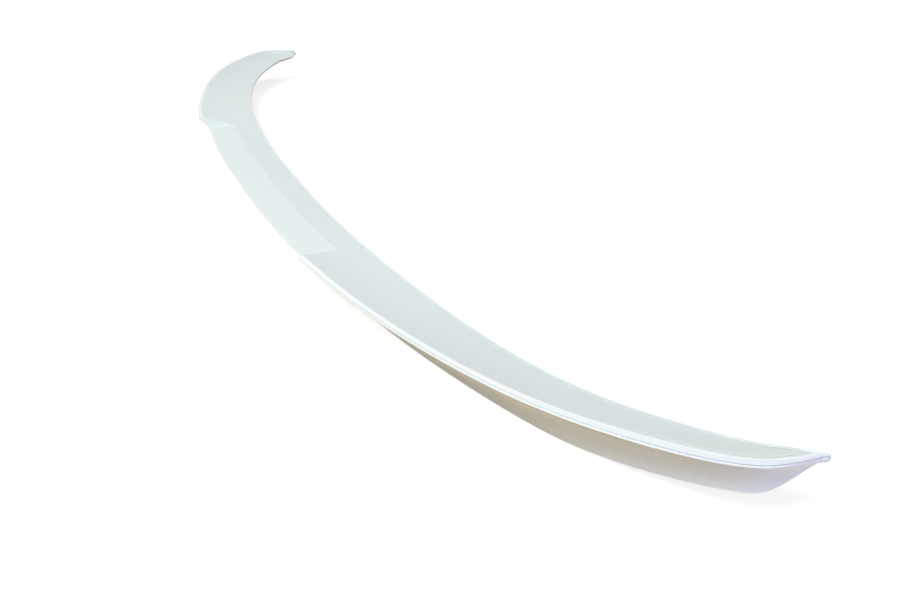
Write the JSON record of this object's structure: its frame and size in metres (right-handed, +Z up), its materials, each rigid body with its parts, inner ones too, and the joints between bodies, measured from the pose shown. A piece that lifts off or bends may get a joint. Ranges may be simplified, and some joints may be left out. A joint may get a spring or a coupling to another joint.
{
  "type": "car rear spoiler",
  "caption": "One-piece swept lip spoiler for a boot lid, with a lowered middle section, pointed ends and foam mounting tape underneath.",
  "frame": {"origin": "middle of the bounding box, on the plane of the rear face's bottom edge, which the part stands on", "axes": "+X across the car to its right side, +Y towards the front of the car, +Z up"},
  "size_m": [1.1254, 0.2164, 0.0419],
  "materials": {
    "pearl_white_paint": "pearl white gloss paint",
    "foam_tape": "foam tape under a red film liner"
  },
  "bodies": {
    "root": {"spoiler_shell": "pearl_white_paint", "front_tape": "foam_tape", "rear_tape": "foam_tape"}
  },
  "joints": []
}
